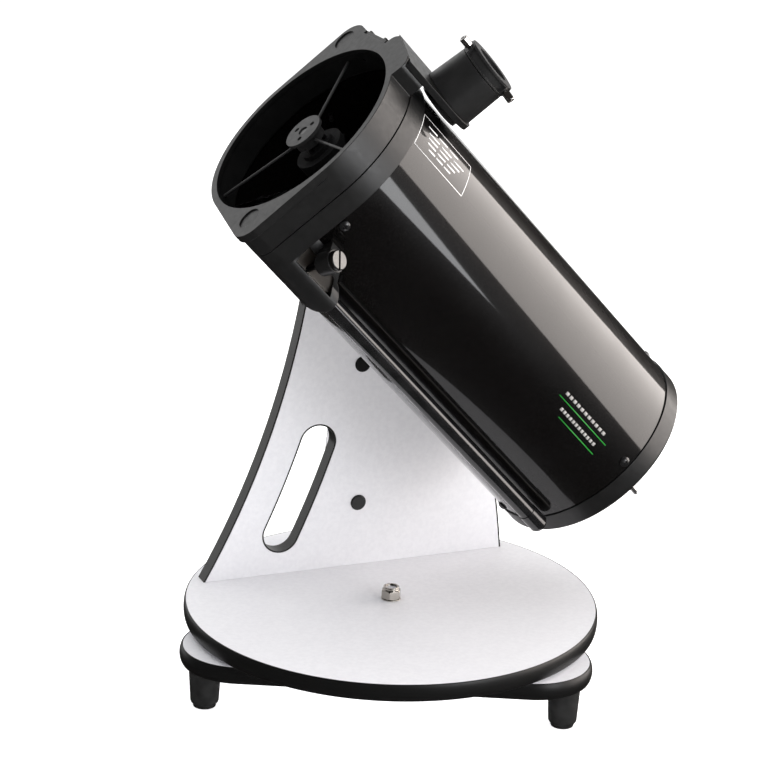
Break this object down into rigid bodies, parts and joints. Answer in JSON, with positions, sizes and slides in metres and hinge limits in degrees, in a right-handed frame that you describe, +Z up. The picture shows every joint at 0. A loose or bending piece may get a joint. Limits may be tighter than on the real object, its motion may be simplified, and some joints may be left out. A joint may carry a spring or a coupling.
{
  "type": "newtonian reflector telescope",
  "caption": "Tabletop newtonian telescope: open black tube with collapsible two-rod truss and helical focuser on a one-armed rotating base.",
  "frame": {"origin": "on the azimuth axis at floor level, under the centre of the turntable", "axes": "+Z up along the azimuth axis; the arm stands on the +Y side and the tube's mouth points to -X and up at rest"},
  "size_m": [0.43, 0.364, 0.584],
  "materials": {
    "laminate": "satin",
    "rubber": "matte",
    "edging": "satin",
    "black_plastic": "satin",
    "tube_paint": "gloss",
    "chrome": "polished",
    "steel": "satin",
    "black_metal": "satin",
    "aluminium": "satin",
    "mirror_glass": "polished",
    "nylon": "matte"
  },
  "bodies": {
    "ground": {"ground_board": "laminate", "ground_edging": "edging", "foot_1": "rubber", "foot_2": "rubber", "foot_3": "rubber", "foot_screws": "steel", "azimuth_pads": "nylon", "azimuth_bolt": "steel", "azimuth_washer": "chrome", "azimuth_nut": "chrome"},
    "turntable": {"turntable_board": "laminate", "turntable_edging": "edging", "azimuth_laminate": "black_plastic", "azimuth_bushing": "nylon", "arm_panel": "laminate", "arm_edging": "edging", "arm_caps": "black_plastic", "arm_brace": "laminate", "brace_edging": "edging", "panel_screws": "steel", "altitude_bushing": "nylon", "altitude_bearing": "black_plastic"},
    "tube": {"main_tube": "tube_paint", "front_collar": "black_plastic", "clamp_plates": "steel", "tube_screws": "black_metal", "rear_collar": "black_plastic", "mirror_cell": "aluminium", "primary_mirror": "mirror_glass", "mirror_clips": "black_plastic", "collimation_springs": "steel", "lock_screws": "black_metal", "dovetail_bar": "aluminium", "dovetail_screws": "steel", "saddle": "black_plastic", "altitude_bolt": "steel"},
    "altitude_knob": {"altitude_knob": "black_plastic"},
    "jaw": {"saddle_jaw": "black_metal"},
    "jaw_knob": {"saddle_knob": "black_plastic"},
    "rod_clamp_1": {"clamp_screw_1": "chrome"},
    "rod_clamp_2": {"clamp_screw_2": "chrome"},
    "collimator_1": {"collimation_bolt_1": "chrome"},
    "collimator_2": {"collimation_bolt_2": "chrome"},
    "collimator_3": {"collimation_bolt_3": "chrome"},
    "cage": {"cage_ring_near": "black_plastic", "cage_ring_far": "black_plastic", "truss_rods": "tube_paint", "rod_ends": "black_plastic", "spider": "aluminium", "secondary_holder": "black_plastic", "secondary_mirror": "mirror_glass", "secondary_screws": "black_metal", "finder_shoe": "black_plastic", "focuser_housing": "black_plastic"},
    "focus_slide": {"slip_ring": "nylon"},
    "focus": {"focus_tube": "black_plastic"},
    "eyepiece_screw_1": {"thumbscrew_1": "chrome"},
    "eyepiece_screw_2": {"thumbscrew_2": "chrome"}
  },
  "joints": [
    {"name": "azimuth", "type": "hinge", "parent": "ground", "child": "turntable", "pos_m": [0, 0, 0.0708], "axis": [0, 0, 1], "continuous": true},
    {"name": "altitude", "type": "hinge", "parent": "turntable", "child": "tube", "pos_m": [0, 0.083, 0.388], "axis": [0, 1, 0], "range_deg": [-47, 43]},
    {"name": "altitude_knob_turn", "type": "hinge", "parent": "tube", "child": "altitude_knob", "pos_m": [0, 0.11, 0.388], "axis": [0, 1, 0], "range_deg": [-180, 180]},
    {"name": "truss_slide", "type": "slide", "parent": "tube", "child": "cage", "axis": [-0.682, 0, 0.7314], "range_m": [0, 0.255]},
    {"name": "focus_travel", "type": "slide", "parent": "cage", "child": "focus_slide", "axis": [0.6969, -0.3032, 0.6499], "range_m": [0, 0.02]},
    {"name": "focus_turn", "type": "hinge", "parent": "focus_slide", "child": "focus", "pos_m": [0.01407, -0.07258, 0.54058], "axis": [0.6969, -0.3032, 0.6499], "range_deg": [0, 1080]},
    {"name": "eyepiece_screw_1_turn", "type": "hinge", "parent": "focus", "child": "eyepiece_screw_1", "pos_m": [0.01336, -0.07799, 0.57806], "axis": [-0.6601, 0.0831, 0.7466], "range_deg": [-180, 180]},
    {"name": "eyepiece_screw_2_turn", "type": "hinge", "parent": "focus", "child": "eyepiece_screw_2", "pos_m": [0.04188, -0.09817, 0.53807], "axis": [0.3584, -0.6376, -0.6819], "range_deg": [-180, 180]},
    {"name": "rod_clamp_1_turn", "type": "hinge", "parent": "tube", "child": "rod_clamp_1", "pos_m": [-0.11321, -0.12747, 0.42053], "axis": [0.4195, -0.8192, 0.3912], "range_deg": [-180, 180]},
    {"name": "rod_clamp_2_turn", "type": "hinge", "parent": "tube", "child": "rod_clamp_2", "pos_m": [-0.02455, 0.05507, 0.5032], "axis": [-0.4195, 0.8192, -0.3912], "range_deg": [-180, 180]},
    {"name": "jaw_travel", "type": "slide", "parent": "tube", "child": "jaw", "axis": [0.7314, 0, 0.682], "range_m": [0, 0.003]},
    {"name": "jaw_knob_turn", "type": "hinge", "parent": "jaw", "child": "jaw_knob", "pos_m": [0.03657, 0.0633, 0.4221], "axis": [0.7314, 0, 0.682], "range_deg": [0, 1080]},
    {"name": "collimator_1_turn", "type": "hinge", "parent": "tube", "child": "collimator_1", "pos_m": [0.22354, -0.0031, 0.24778], "axis": [0.682, 0, -0.7314], "range_deg": [-180, 180]},
    {"name": "collimator_2_turn", "type": "hinge", "parent": "tube", "child": "collimator_2", "pos_m": [0.12813, 0.00602, 0.15882], "axis": [0.682, 0, -0.7314], "range_deg": [-180, 180]},
    {"name": "collimator_3_turn", "type": "hinge", "parent": "tube", "child": "collimator_3", "pos_m": [0.17006, -0.11152, 0.19791], "axis": [0.682, 0, -0.7314], "range_deg": [-180, 180]}
  ],
  "couplings": [
    {"joint": "focus_turn", "follows": "focus_travel", "rad_per_m": 942.48},
    {"joint": "jaw_knob_turn", "follows": "jaw_travel", "rad_per_m": 6283.2}
  ]
}
